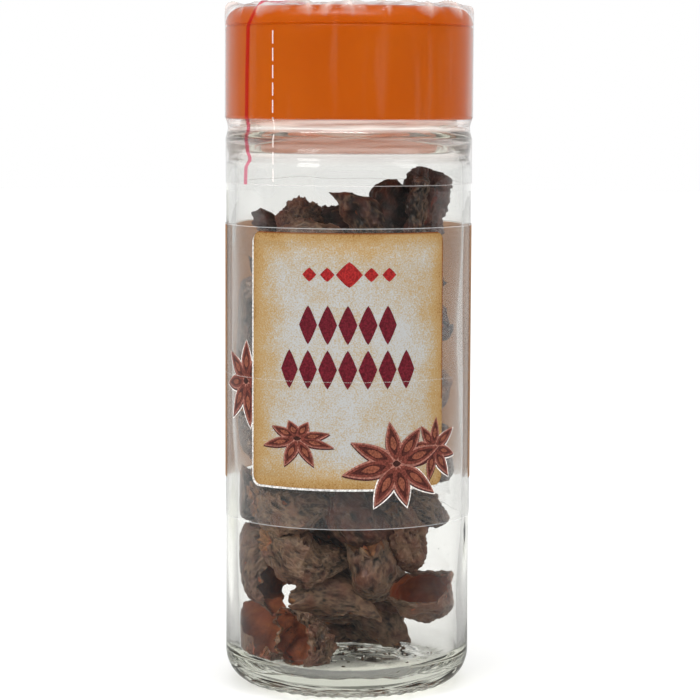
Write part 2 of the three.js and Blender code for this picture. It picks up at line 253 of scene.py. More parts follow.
# At: the carpel's middle in mm. Aim: heading, rise and roll in degrees; heading 0 points the beak
# to +X, rise tips it up, roll turns the seam about the length. Size: length, height, breadth in mm.
# Gape: how far each valve has split open. Rough: how deep the husk is wrinkled. Red: how much of it
# is reddish. Dark: how much darker its colour is made, painted shade on the top carpels, which the cap
# keeps from the light. Blunt and tip: how full it is at the torn base and at the beak.
FLOOR_CARPELS = [
    dict(at=(-14.2, -8.0, 9.5), aim=(61, 44, 33), size=(10.8, 7.4, 6.6), gape=58, rough=0.8, red=0.6),
    dict(at=(-7.3, -12.2, 9.2), aim=(119, 75, 290), size=(11.4, 6.6, 5.4), gape=26, rough=1.9, red=0.4),
    dict(at=(2.6, 6.0, 8.6), aim=(172, 2, 17), size=(14.1, 6, 6), rough=0.7),
    dict(at=(-3.6, 9.6, 9.0), aim=(165, 12, 40), size=(15, 8, 6.4), gape=20, rough=0.9),
    dict(at=(-1.6, -10.2, 16.0), aim=(354, 5, 166), size=(14.3, 7, 5.8), rough=0.35),
    dict(at=(11.9, -6.8, 15.9), aim=(187, -7, 304), size=(12.8, 7, 6.4), gape=20, rough=0.8, red=0.7),
    dict(at=(6.4, 2.0, 14.4), aim=(150, 20, 120), size=(10, 4.8, 4.4), rough=0.8, red=0.9),
    dict(at=(-13.9, -3.8, 20.6), aim=(163, -70, 196), size=(14.4, 9.4, 7.2), gape=24, rough=1.1, red=0.5),
]
# Two of the middle carpels have a knot: its place from the carpel's middle, and its radius, in mm.
SMALL_KNOT = (-1.2, -2.6, 0.5, 0.7)
LARGE_KNOT = (-1.7, -2.9, -1.0, 1.05)
MIDDLE_CARPELS = [
    dict(at=(4.2, -12.0, 20.3), aim=(26, -78, 290), size=(11.1, 7, 7.2), rough=0.6, blunt=0.95, tip=0.4),
    dict(at=(-6.3, -13.2, 23.4), aim=(2, -24, 330), size=(16, 7.4, 6), rough=1.3, knots=[SMALL_KNOT]),
    dict(at=(10.1, -10.0, 24.9), aim=(21, -75, 297), size=(11.8, 6.8, 6.2), rough=1.3, red=0.6),
    dict(at=(3.2, -12.2, 29.2), aim=(4, -42, 330), size=(14.6, 8, 6.4), rough=0.5, red=0.6, dark=0.8),
    dict(
        at=(-8.6, -12.8, 32.0), aim=(358, -2, 323), size=(16.2, 8, 6.4),
        rough=1.2, dark=-0.2, knots=[LARGE_KNOT],
    ),
    dict(at=(13.0, -7.4, 30.6), aim=(16, -40, 306), size=(10.6, 5.2, 4.2), rough=1.6, dark=0.2),
    dict(at=(-16.7, -4.5, 31.4), aim=(65, -80, 6), size=(9, 6, 5), rough=0.9),
]
# The top carpels are painted darker by their dark values: painted shade, as the cap keeps light off them.
TOP_CARPELS = [
    dict(at=(-17.2, -3.6, 62.5), aim=(111, 84, 110), size=(16.1, 7.4, 6.6), gape=14, rough=0.9),
    dict(at=(-15.2, -6.0, 43.0), aim=(160, 10, 60), size=(12, 7, 6), rough=0.9),
    dict(at=(14.0, -3.0, 37.6), aim=(20, -8, 90), size=(13, 7.2, 6), rough=0.9),
    dict(
        at=(-12.3, -4.5, 78.3), aim=(347, -28, 330), size=(6.4, 3, 2.8),
        rough=0.25, blunt=1, tip=0.2, dark=1.4,
    ),
    dict(at=(-8.3, -7.3, 77.6), aim=(248, -2, 176), size=(9.5, 6.8, 6.2), rough=1.9, red=0.7, dark=1.0),
    dict(at=(-3.4, -3.5, 77.4), aim=(172, 10, 160), size=(12, 7, 6), rough=1.0, dark=1.9),
    dict(at=(2.2, -9.6, 79.7), aim=(178, 66, 188), size=(12, 5.6, 4.8), rough=0.8, dark=0.7),
    dict(at=(3.4, -4.6, 77.8), aim=(200, -6, 170), size=(11, 7, 6.4), rough=0.9, red=1.2, dark=0.9),
    dict(at=(6.8, -7.3, 79.6), aim=(266, -10, 182), size=(11.4, 9.2, 7.0), rough=0.7, dark=2.2),
    dict(
        at=(11.2, -10.5, 80.8), aim=(0, 87, 259), size=(11.2, 4.6, 2.6),
        rough=1.2, blunt=0.9, tip=0.6, dark=1,
    ),
    dict(
        at=(12.4, -5.6, 80.6), aim=(25, 79, 59), size=(13.2, 8.2, 7),
        rough=1.2, red=0.8, blunt=0.9, tip=1, dark=2,
    ),
    dict(at=(7.0, 7.0, 76.0), aim=(200, 16, 30), size=(15, 8, 6.4), gape=20, rough=0.9),
    dict(at=(-6.4, 9.0, 75.4), aim=(330, 10, 340), size=(15, 8, 6.4), rough=0.9),
]


def swell(u, blunt, crest, taper, tip):
    """How far a carpel swells at u, from 0 at the torn base to 1 at the beak."""
    rise = blunt + (1 - blunt) * np.sin(np.pi / 2 * np.minimum(u / crest, 1))
    fall = np.maximum(u - crest, 0) / (1 - crest)
    return rise * (1 - (1 - tip) * fall**taper) * np.clip((1 - u) / 0.05, 0.3, 1) ** 0.5


def valve_pair(u, pod, inset, turns):
    """Places on the two valves at stations u, each from lip to lip round the keel, in mm."""
    length, height, breadth = pod["size"]
    tip = pod.get("tip", 0.0)
    half = breadth / 2 * swell(u, pod.get("blunt", 0.74), 0.32, 2.2, tip) + 0.15
    depth = height * swell(u, pod.get("blunt", 0.7), 0.36, 2.6, tip) + 0.3
    seam = height * (0.4 + 0.3 * (u - 0.45) ** 2 + 0.12 * u**5)
    hollow = np.clip(u / 0.14, 0.04, 1) * np.clip((1 - u) / 0.08, 0.05, 1)
    half = np.where(inset > 0, np.maximum(half - inset, half * 0.15) * hollow, half)[:, None]
    keel = (seam - depth)[:, None]
    depth_in = np.maximum(depth - inset, depth * 0.3)[:, None]
    gape = np.radians(max(pod.get("gape", 0), 0.7)) * np.minimum(1, 0.25 + 2.2 * u)[:, None]
    share = np.linspace(-1, 1, turns)[None, :]
    round_keel = share * np.pi * (0.93 if inset > 0 else 1.0)
    waist = 1 - 0.3 * ((1 - np.cos(round_keel)) / 2) ** 2
    side = half * np.sin(round_keel) * waist
    up = seam[:, None] - depth_in * (1 + np.cos(round_keel)) / 2 - keel
    turn = gape * np.sign(share)
    x = np.broadcast_to((length * (u - 0.5))[:, None], side.shape)
    y = side * np.cos(turn) + up * np.sin(turn)
    z = keel + up * np.cos(turn) - side * np.sin(turn)
    return np.stack([x, y, z], -1)


def drift(q):
    """A push to the side that changes smoothly from place to place, so that wrinkles wander."""
    aways = ((9.3, -1.5, -8.0), (0.0, 0.0, 0.0), (-3.7, 2.2, 6.4))
    return Vector([noise.noise(q + Vector(away)) for away in aways])


def husk_relief(p, seed):
    """Wrinkles of the dried husk at place p in mm: a height from about -1 in the creases to 1."""
    q = Vector((0.3 * p[0] + 17.3 * seed, 0.7 * p[1], 0.7 * p[2]))
    q += drift(q * 0.8) * 0.9
    folds = 1 - 3.6 * abs(noise.noise(q * 1.15))
    creases = 1 - 3.6 * abs(noise.noise(q * 2.5 + Vector((3, 7, 1))))
    grit = noise.noise(q * 6.0) * 1.6
    return 0.48 * folds + 0.40 * creases + 0.12 * grit


def knot_relief(p, knots):
    """How place p is sunk in a knot or raised on the rim round it."""
    relief = 0.0
    for x, y, z, radius in knots:
        away = math.dist(p, (x, y, z)) / radius
        relief += -math.exp(-(away**4)) + 0.5 * math.exp(-(((away - 1.35) / 0.3) ** 2))
    return relief


def noise_over(points, scale, away):
    """Smooth noise at each point, the points scaled and moved first."""
    return np.array([noise.noise(Vector(p) * scale + Vector(away)) for p in points])


def grid_faces(rows, wide, start=0, closed=False):
    """Faces between rows of points that are each so many points wide, or closed into rings."""
    faces = []
    for low in range(start, start + (rows - 1) * wide, wide):
        for i in range(wide if closed else wide - 1):
            j = (i + 1) % wide
            faces.append((low + i, low + j, low + wide + j, low + wide + i))
    return faces


def carpel(pod, seed, stations, skin_turns, lining_turns):
    """One carpel in its own frame: its vertices in mm, its faces, the material of each face (0 skin,
    1 lining, 2 torn edge), and the marks that its colours are read from at each vertex."""
    random = np.random.default_rng(seed)
    even = np.linspace(0, 1, stations)
    u = 0.45 * (0.5 - 0.5 * np.cos(np.pi * even)) + 0.55 * even
    skin = valve_pair(u, pod, 0.0, skin_turns)
    lining = valve_pair(u, pod, HUSK_WALL / MM, lining_turns)[:, ::-1]
    loops = np.concatenate([skin, lining], 1)
    around = loops.shape[1]
    points = loops.reshape(-1, 3)
    on_skin = np.tile(np.arange(around) < skin_turns, stations)
    along = np.repeat(u, around)
    outward = points - np.repeat(loops.mean(1), around, 0)
    outward /= np.maximum(np.linalg.norm(outward, axis=1), 1e-6)[:, None]
    relief = np.array([husk_relief(p, seed) for p in points])
    if "knots" in pod:
        relief += 2.2 * np.array([knot_relief(p, pod["knots"]) for p in points])
    lumps = noise_over(points, 0.3, (seed, 2.0 * seed, 0))
    dents = noise_over(points, 0.62, (seed, 0, 5.0))
    depth = np.where(on_skin, 0.5 * pod["rough"], 0.08) * np.clip((1 - along) / 0.1, 0.2, 1)
    points = points + outward * (depth * relief + 0.8 * lumps + 0.5 * pod["rough"] * dents)[:, None]
    # torn base: ragged along the length
    rag = noise_over(points * (0.1, 1, 1), 0.8, (seed, 0, 0))
    points[:, 0] += 0.34 * pod["size"][1] * rag * np.clip(1 - along / 0.2, 0, 1) ** 1.5
    # chipped lips: ragged across, each valve in its own way
    lip_share = np.tile(np.append(np.linspace(-1, 1, skin_turns), np.linspace(1, -1, lining_turns)), stations)
    by_valve = np.stack([0.8 * points[:, 0], np.copysign(3.0, points[:, 1]), 0 * along], 1)
    chip = noise_over(by_valve, 1.0, (0, 0, seed))
    points[:, 2] += 0.8 * (chip - 0.15) * np.clip((np.abs(lip_share) - 0.86) / 0.14, 0, 1) * pod["rough"]
    # a little bend and twist, as the husk dried
    share = points[:, 0] / pod["size"][0]
    bend = random.uniform(-0.9, 0.9)
    turn = random.uniform(-0.3, 0.3) * share
    points[:, 1] += bend * share**2 * 2
    y, z = points[:, 1].copy(), points[:, 2].copy()
    points[:, 1] = y * np.cos(turn) - z * np.sin(turn)
    points[:, 2] = y * np.sin(turn) + z * np.cos(turn)

    faces = grid_faces(stations, around, closed=True)
    kinds = [0] * (skin_turns - 1) + [2] + [1] * (lining_turns - 1) + [2]
    kinds *= stations - 1
    # both ends are closed between skin and lining
    inner = [around - 1 - round(i * (lining_turns - 1) / (skin_turns - 1)) for i in range(skin_turns)]
    for i in range(skin_turns - 1):
        for base, flip in ((0, False), ((stations - 1) * around, True)):
            ring = [base + i, base + inner[i], base + inner[i + 1], base + i + 1]
            ring = [v for k, v in enumerate(ring) if v != ring[k - 1]]
            faces.append(tuple(ring[::-1] if flip else ring))
            kinds.append(2)
    # tone: a random tone less the carpel's dark value; on the top carpels this is painted shade
    tone = np.random.default_rng(900 + seed).uniform() - pod.get("dark", 0.0)
    marks = dict(
        # relief: the wrinkles' height, painted dark in the creases and light on the ridges as shade and
        # highlight
        relief=np.where(on_skin, relief, 0.2),
        red=np.clip(pod.get("red", 0.25) + 0.9 * dents + 0.5 * lumps, 0, 1),
        tone=np.full(len(points), tone),
        rough=np.full(len(points), pod["rough"]),
        place=points + 40.0 * seed,
    )
    return points, faces, kinds, marks


def set_down(points, pod):
    """Turns a carpel about its length, aims it, sets it in the jar and keeps it off the glass, in mm."""
    heading, rise, roll = (math.radians(a) for a in pod["aim"])
    turn = Matrix.Rotation(heading, 3, "Z") @ Matrix.Rotation(-rise, 3, "Y") @ Matrix.Rotation(roll, 3, "X")
    placed = points @ np.array(turn).T + np.array(pod["at"])
    heel = np.clip((FLOOR_Z / MM + INNER_HEEL_R / MM - placed[:, 2]) * MM / INNER_HEEL_R, 0, 1)
    room = (INSIDE_R - CLEARANCE) / MM - INNER_HEEL_R / MM * (1 - np.sqrt(1 - heel**2))
    radius = np.hypot(placed[:, 0], placed[:, 1])
    free = 0.93 * room
    squeezed = free + (room - free) * (1 - np.exp(-np.maximum(radius - free, 0) / (room - free)))
    placed[:, :2] *= np.where(radius > free, squeezed / np.maximum(radius, 1e-6), 1)[:, None]
    share = 1 - np.minimum(np.hypot(placed[:, 0], placed[:, 1]) * MM / INSIDE_R, 1)
    placed[:, 2] = np.maximum(placed[:, 2], (FLOOR_Z + FLOOR_DOME * share + CLEARANCE) / MM)
    return placed


def carpel_piece(name, pods, first_seed, stations, skin_turns, lining_turns):
    """Many carpels as one mesh."""
    vertices, faces, kinds, marks = [], [], [], []
    for seed, pod in enumerate(pods, first_seed):
        points, own_faces, own_kinds, own_marks = carpel(pod, seed, stations, skin_turns, lining_turns)
        start = sum(len(v) for v in vertices)
        vertices.append(set_down(points, pod) * MM)
        faces += [tuple(start + i for i in f) for f in own_faces]
        kinds += own_kinds
        marks.append(own_marks)
    husk = [HUSK_SKIN, HUSK_LINING, HUSK_TORN_EDGE]
    piece = new_piece(name, (np.concatenate(vertices), faces), husk)
    piece.data.polygons.foreach_set("material_index", kinds)
    for label in marks[0]:
        kind, field = ("FLOAT_VECTOR", "vector") if label == "place" else ("FLOAT", "value")
        values = np.concatenate([own[label] for own in marks])
        layer = piece.data.attributes.new(label, kind, "POINT")
        layer.data.foreach_set(field, values.astype(np.float32).ravel())
    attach(piece, "root")
    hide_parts("star_anise_heap")


def srgb(red, green, blue):
    """A linear colour from bytes as seen on a screen."""
    channels = [c / 255 for c in (red, green, blue)]
    return tuple(c / 12.92 if c <= 0.04045 else ((c + 0.055) / 1.055) ** 2.4 for c in channels) + (1.0,)


def calc(tree, operation, *values, clamp=False):
    """A sum on numbers and other nodes' outputs."""
    node = add_node(tree, "Math", dict(enumerate(values)), operation)
    node.use_clamp = clamp
    return node.outputs[0]


def clouds(tree, place, scale, detail, roughness=0.5):
    """Smooth noise by place, from 0 to 1."""
    look = {"Vector": place, "Scale": scale, "Detail": detail, "Roughness": roughness}
    return add_node(tree, "TexNoise", look).outputs["Fac"]


def stretched(tree, place, stretch):
    """A place with each of its axes stretched."""
    return add_node(tree, "VectorMath", {0: place, 1: stretch}, "MULTIPLY").outputs[0]


def blend(tree, share, first, second):
    """The second colour by the given share, and otherwise the first."""
    node = tree.nodes.new("ShaderNodeMix")
    node.data_type = "RGBA"
    set_inputs(tree, node, {"Factor": share, 6: first, 7: second})
    return node.outputs[2]


def new_group(name, takes, gives):
    """A node group with these named inputs and outputs: its tree, what comes in, and what goes out."""
    group = bpy.data.node_groups.new(name, "ShaderNodeTree")
    for way, sockets in (("INPUT", takes), ("OUTPUT", gives)):
        for label, kind in sockets.items():
            group.interface.new_socket(label, in_out=way, socket_type=f"NodeSocket{kind}")
    return group, group.nodes.new("NodeGroupInput").outputs, group.nodes.new("NodeGroupOutput")


def use_group(tree, group, inputs):
    """The outputs of a node group that is placed in a material with its own values."""
    node = tree.nodes.new("ShaderNodeGroup")
    node.node_tree = group
    set_inputs(tree, node, inputs)
    return node.outputs


def mottle_and_shade_group():
    """Uneven colour of dried husk with painted shade and painted highlight: dark in the creases and light on
    the ridges and along the sharp wrinkles, partly the husk's own worn ridges; red in patches, with fine
    specks. Also gives the height of its fine grain."""
    takes = {"Dark": "Color", "Light": "Color", "Red": "Color", "ReliefAndShade": "Float", "Redness": "Float"}
    takes |= {"Grain": "Float", "Wrinkle": "Float", "Place": "Vector"}
    group, come, go = new_group("husk_mottle_and_shade", takes, {"Color": "Color", "Height": "Float"})
    place = stretched(group, come["Place"], (0.5, 1.0, 1.0))
    broad = clouds(group, place, 0.38, 5.0, 0.6)
    fine = clouds(group, place, 2.1, 2.5, 0.6)
    fold = clouds(group, place, 0.95, 1.6, 0.5)
    # sharp wrinkles run where the fold noise crosses its middle
    off = calc(group, "ABSOLUTE", calc(group, "SUBTRACT", fold, 0.5))
    ridge = calc(group, "SUBTRACT", 1.0, calc(group, "MULTIPLY", off, 7.0), clamp=True)
    wrinkle = calc(group, "MULTIPLY", ridge, come["Wrinkle"])
    # painted shade and highlight: low relief is painted darker, high relief lighter
    raised = calc(group, "MULTIPLY_ADD", come["ReliefAndShade"], 0.6, 0.1)
    patchy = calc(group, "MULTIPLY_ADD", broad, 1.1, -0.55)
    specks = calc(group, "MULTIPLY", calc(group, "SUBTRACT", fine, 0.5), come["Grain"])
    # painted highlight along the sharp wrinkles
    furrowed = calc(group, "MULTIPLY_ADD", wrinkle, 0.34, specks)
    light = calc(group, "ADD", calc(group, "ADD", raised, patchy), furrowed, clamp=True)
    rosy = calc(group, "MULTIPLY", come["Redness"], clouds(group, place, 0.24, 3.0), clamp=True)
    brown = blend(group, light, come["Dark"], come["Light"])
    colour = blend(group, rosy, brown, come["Red"])
    height = calc(group, "MULTIPLY_ADD", wrinkle, 0.9, calc(group, "MULTIPLY", fine, 0.7))
    set_inputs(group, go, {"Color": colour, "Height": height})
    return group


def mark(tree, label, output="Fac"):
    """What a piece's points carry under this label."""
    node = add_node(tree, "Attribute")
    node.attribute_name = label
    return node.outputs[output]


def husk_material(name, dark, light, red, grain, wrinkle, roughness, bump):
    """One side of the husk, coloured by the marks that each carpel's points carry."""
    mat, tree, shader = new_material(name, {"Roughness": roughness})
    # Painted shade and highlight: relief darkens the creases and lightens the ridges, and tone, lowered by
    # each carpel's dark value, paints shade on the top carpels.
    own_look = {
        "Dark": srgb(*dark),
        "Light": srgb(*light),
        "Red": srgb(*red),
        "ReliefAndShade": calc(tree, "MULTIPLY_ADD", mark(tree, "tone"), 0.55, mark(tree, "relief")),
        "Redness": mark(tree, "red"),
        "Grain": grain,
        "Wrinkle": calc(tree, "MULTIPLY", mark(tree, "rough"), wrinkle),
        "Place": mark(tree, "place", "Vector"),
    }
    mottle_and_shade = use_group(tree, HUSK_MOTTLE_AND_SHADE, own_look)
    raised = {"Strength": bump, "Distance": GRAIN_HEIGHT, "Height": mottle_and_shade["Height"]}
    normal = add_node(tree, "Bump", raised).outputs["Normal"]
    set_inputs(tree, shader, {"Base Color": mottle_and_shade["Color"], "Normal": normal})
    return mat


HUSK_MOTTLE_AND_SHADE = mottle_and_shade_group()
HUSK_SKIN = husk_material(
    "husk_skin", dark=(19, 12, 9), light=(125, 98, 77), red=(98, 46, 31),
    grain=1.3, wrinkle=0.9, roughness=0.46, bump=0.7,
)
HUSK_LINING = husk_material(
    "husk_lining", dark=(78, 35, 22), light=(200, 116, 68), red=(118, 44, 28),
    grain=0.6, wrinkle=0.0, roughness=0.36, bump=0.4,
)
HUSK_TORN_EDGE = husk_material(
    "husk_torn_edge", dark=(48, 30, 21), light=(160, 112, 72), red=(118, 58, 35),
    grain=1.4, wrinkle=0.6, roughness=0.8, bump=1.0,
)


# The filling's courses, and in mm the radius they lie at and the height that the laid carpels reach.
COURSES = 9
COURSE_R = 12.2
LAID_TO_Z = 36


def filling_pods():
    """Courses of carpels round the middle, each turned on from the one below and jogged at random,
    and a core inside them. The front of the lowest courses is left to the carpels laid there."""
    random = np.random.default_rng(31)
    pods = []
    for course in range(COURSES):
        for i in range(6):
            heading = 60 * i + 23 * course + random.uniform(-12, 12)
            angle = math.radians(heading)
            z = 9.6 + 7.95 * course + random.uniform(-1.5, 1.5)
            steep = 48 if course < COURSES - 1 else 12
            pod = dict(
                at=(COURSE_R * math.cos(angle), COURSE_R * math.sin(angle), z),
                aim=(
                    heading + 90 + random.uniform(-35, 35),
                    random.uniform(-steep, steep),
                    random.uniform(0, 360),
                ),
                size=(random.uniform(13, 16), random.uniform(7, 8.8), random.uniform(5.8, 7)),
                rough=random.uniform(0.5, 1.2),
            )
            behind = math.sin(angle) > 0.1 and abs(math.cos(angle)) < 0.45
            if z > LAID_TO_Z or behind:
                pods.append(pod)
    for course in range(COURSES - 1):
        for i in range(3):
            angle = math.radians(120 * i + 40 * course)
            pod = dict(
                at=(4 * math.cos(angle), 4 * math.sin(angle) + 2, 10.5 + 8.1 * course + 2 * i),
                aim=(random.uniform(0, 360), random.uniform(-50, 50), random.uniform(0, 360)),
                size=(random.uniform(12, 14), 7.5, 6.2),
                rough=1.0,
            )
            pods.append(pod)
    return pods


FINE_MESH = dict(stations=70, skin_turns=76, lining_turns=30)
COARSE_MESH = dict(stations=26, skin_turns=32, lining_turns=14)
carpel_piece("floor_carpels", FLOOR_CARPELS, first_seed=1, **FINE_MESH)
carpel_piece("middle_carpels", MIDDLE_CARPELS, first_seed=41, **FINE_MESH)
carpel_piece("top_carpels", TOP_CARPELS, first_seed=101, **FINE_MESH)
carpel_piece("filling_carpels", filling_pods(), first_seed=201, **COARSE_MESH)

# In mm: how far out crumbs lie on the domed floor, the dome's own radius, and how near the wall and
# between which heights the specks stick.
CRUMBS_TO_R = 16.0
DOME_R = 16.2
SPECK_GAP = 0.2
SPECKS_FROM_Z = 8
SPECKS_TO_Z = 88


def crumb_piece(name, count, seed, least, most, put, mat):
    """Small broken bits, each a dented twenty-faced grain."""
    random = np.random.default_rng(seed)
    vertices, faces = [], []
    grain = bmesh.new()
    bmesh.ops.create_icosphere(grain, subdivisions=1, radius=1)
    corners = np.array([v.co for v in grain.verts])
    sides = [[v.index for v in f.verts] for f in grain.faces]
    grain.free()
    for _ in range(count):
        size = least * (most / least) ** (random.uniform() ** 2.2)
        shape = corners * random.uniform(0.6, 1.0, (len(corners), 1)) * random.uniform(0.4, 1.0, 3) * size
        faces += [tuple(len(vertices) + i for i in side) for side in sides]
        vertices += list(shape + np.array(put(random, size)))
    piece = new_piece(name, (np.array(vertices) * MM, faces), [mat], smooth=False)
    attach(piece, "root")
    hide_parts("star_anise_heap")


def on_floor(random, size):
    """A place on the domed floor, in mm."""
    angle = random.uniform(0, 2 * math.pi)
    out = CRUMBS_TO_R * random.uniform() ** 0.5
    high = FLOOR_Z / MM + FLOOR_DOME / MM * math.cos(math.pi / 2 * out / DOME_R) + 0.4 * size
    return out * math.cos(angle), out * math.sin(angle), high + 0.05


def on_wall(random, size):
    """A place on the inside of the wall, in mm."""
    angle = random.uniform(0, 2 * math.pi)
    out = INSIDE_R / MM - SPECK_GAP - size
    return out * math.cos(angle), out * math.sin(angle), random.uniform(SPECKS_FROM_Z, SPECKS_TO_Z)


crumb_piece("floor_crumbs", 130, seed=7, least=0.14, most=0.8, put=on_floor, mat=HUSK_TORN_EDGE)
crumb_piece("dust_specks", 300, seed=8, least=0.05, most=0.17, put=on_wall, mat=HUSK_SKIN)


# ---- The label ----
# Clear film wrapped round the jar and stuck on its side, with a milky cast where it lies over dark
# things. A parchment panel with a white keyline is printed on its front, plain tan on its back.
LABEL_LOW, LABEL_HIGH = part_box("label")
LABEL_R = LABEL_HIGH.x - 0.04 * MM
INK_STEP = 0.016 * MM
FILM_EDGE = 0.12 * MM
FILM_SLACK = 0.02 * MM
PANEL_BOTTOM_Z = 35.7 * MM
PANEL_TOP_Z = 77.6 * MM
PANEL_HALF = math.radians(48.2)
PANEL_CORNER = 1.7 * MM
CREASE_Z = 53.2 * MM
KEYLINE = 0.35 * MM
BACK_HALF = math.radians(102)
PARCHMENT_TONES = [
    (0.0, (166, 167, 168)),
    (1.0, (112, 72, 34)),
    (0.16, (162, 156, 144)),
    (0.42, (160, 134, 93)),
    (0.72, (152, 118, 70)),
]


def on_label(across, height, layer=0):
    """A place on the label: across is the way round from the front, in metres of film."""
    angle = across / LABEL_R
    radius = LABEL_R + layer * INK_STEP
    return radius * math.sin(angle), -radius * math.cos(angle), height


def printed(name, shapes, layer, material):
    """One colour of print. Each shape is rows of (across, height) points, all rows equally long."""
    vertices, faces = [], []
    for rows in shapes:
        faces += grid_faces(len(rows), len(rows[0]), len(vertices))
        vertices += [on_label(across, height, layer) for row in rows for across, height in row]
    piece = new_piece(name, (vertices, faces), [material])
    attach(piece, "root")
    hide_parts("label")


def rounded_panel(half, low, high, corner, columns=90):
    """Rows of a rectangle with rounded corners."""
    turn = np.linspace(0, 1, 9)[:-1]
    ends = corner * (1 - np.sin(np.pi / 2 * turn))
    bottom = [(low + e, corner - math.sqrt(max(corner**2 - (corner - e) ** 2, 0))) for e in ends[::-1]]
    rows = bottom + [(z, 0.0) for z in np.linspace(low + corner, high - corner, 12)]
    rows += [(high - (z - low), c) for z, c in bottom[::-1]]
    return [[(x, z) for x in np.linspace(-half + c, half - c, columns)] for z, c in rows]


def ramp(tree, value, stops):
    """A colour by value, between stops that are each a place from 0 to 1 and a colour."""
    node = add_node(tree, "ValToRGB", {"Fac": value})
    for k, (place, colour) in enumerate(stops):
        stop = node.color_ramp.elements[k] if k < 2 else node.color_ramp.elements.new(place)
        stop.position = place
        stop.color = colour
    return node.outputs["Color"]


def spread(tree, value, low, high, least, most):
    """From least to most as the value goes from low to high."""
    ends = {"From Min": low, "From Max": high, "To Min": least, "To Max": most}
    return add_node(tree, "MapRange", {"Value": value, **ends}).outputs["Result"]


def place_on_piece(tree):
    """The place of what is shaded, in the piece's own metres."""
    return add_node(tree, "TexCoord").outputs["Object"]


def uneven_tone_group():
    """A print or a plastic that is a little uneven, from a dark to a light tone. Low and High are the
    cloudiness that gives the one and the other. Also gives that cloudiness, from 0 to 1."""
    takes = {"Place": "Vector", "Scale": "Float", "Detail": "Float", "Low": "Float", "High": "Float"}
    takes |= {"Dark": "Color", "Light": "Color"}
    group, come, go = new_group("uneven_tone", takes, {"Color": "Color", "Cloud": "Float"})
    cloud = clouds(group, come["Place"], come["Scale"], come["Detail"])
    share = spread(group, cloud, come["Low"], come["High"], 0.0, 1.0)
    set_inputs(group, go, {"Color": blend(group, share, come["Dark"], come["Light"]), "Cloud": cloud})
    return group


UNEVEN_TONE = uneven_tone_group()


def film_material(name, veil, tint, roughness, clear=(1, 1, 1)):
    """Thin film: lets nearly all through, hazes by its veil, and shines alike from both its sides, a
    little head-on and fully at a glance. The veil is a number, or a function that makes it by place."""
    mat, tree, shader = new_material(name, {})
    tree.nodes.remove(shader)
    through = add_node(tree, "BsdfTransparent", {"Color": (*clear, 1)})
    haze = add_node(tree, "BsdfDiffuse", {"Color": srgb(*tint)})
    shine = add_node(tree, "BsdfGlossy", {"Roughness": roughness})
    facing = add_node(tree, "LayerWeight", {"Blend": 0.5}).outputs["Facing"]
    gloss = calc(tree, "MULTIPLY_ADD", calc(tree, "POWER", facing, 4.5), 0.9, 0.01)
    body = mix_shaders(tree, veil(tree) if callable(veil) else veil, through, haze)
    show(tree, mix_shaders(tree, gloss, body, shine))
    return mat


def let_light_through(mat, share, colour):
    """Lets part of the light that falls on a thin sheet's far side glow through it."""
    tree = mat.node_tree
    glow = add_node(tree, "BsdfTranslucent", {"Color": srgb(*colour)})
    show(tree, mix_shaders(tree, share, tree.nodes["Principled BSDF"], glow))
    return mat


def ink_material(name, colour):
    """One ink, printed in a fine uneven grain."""
    mat, tree, shader = new_material(name, {"Roughness": 0.35, "Specular IOR Level": 0.1})
    dark = srgb(*(c * 0.78 for c in colour))
    light = srgb(*(min(c * 1.12, 255) for c in colour))
    grain = {"Place": place_on_piece(tree), "Scale": 3200, "Detail": 2, "Low": 0.35, "High": 0.65}
    tone = use_group(tree, UNEVEN_TONE, {**grain, "Dark": dark, "Light": light})
    set_inputs(tree, shader, {"Base Color": tone["Color"]})
    return mat


def parchment_material():
    """Old paper: pale in the middle, ochre and scorched towards the edges, grainy all over."""
    mat, tree, shader = new_material("parchment_print", {"Roughness": 0.45, "Specular IOR Level": 0.08})
    place = place_on_piece(tree)
    split = add_node(tree, "SeparateXYZ", {0: place}).outputs
    angle = calc(tree, "ARCTAN2", split["X"], calc(tree, "MULTIPLY", split["Y"], -1.0))
    side = calc(tree, "DIVIDE", angle, PANEL_HALF)
    middle = (PANEL_TOP_Z + PANEL_BOTTOM_Z) / 2
    tall = (PANEL_TOP_Z - PANEL_BOTTOM_Z) / 2
    up = calc(tree, "DIVIDE", calc(tree, "SUBTRACT", split["Z"], middle), tall)
    sides = calc(tree, "POWER", calc(tree, "ABSOLUTE", side), 5.0)
    ends = calc(tree, "POWER", calc(tree, "ABSOLUTE", up), 6.5)
    corners = calc(tree, "MINIMUM", sides, ends)
    border = calc(tree, "MULTIPLY_ADD", corners, 0.2, calc(tree, "MAXIMUM", sides, ends))
    wander = calc(tree, "MULTIPLY_ADD", clouds(tree, place, 130, 8, 0.68), 1.5, -0.72)
    grain = calc(tree, "MULTIPLY_ADD", clouds(tree, place, 4300, 2, 0.7), 2.0, -1.0)
    worn = calc(tree, "ADD", calc(tree, "ADD", border, wander), calc(tree, "ADD", grain, 0.16))
    tones = [(stop, srgb(*tone)) for stop, tone in PARCHMENT_TONES]
    paper = ramp(tree, calc(tree, "MULTIPLY", worn, 0.62), tones)
    # a scorched line along the top and the upper right-hand side
    upper_side = calc(tree, "MULTIPLY", side, calc(tree, "GREATER_THAN", split["Z"], 50 * MM))
    scorch = spread(tree, calc(tree, "MAXIMUM", up, upper_side), 0.982, 0.996, 0.0, 1.0)
    set_inputs(tree, shader, {"Base Color": blend(tree, scorch, paper, srgb(112, 58, 26))})
    return mat


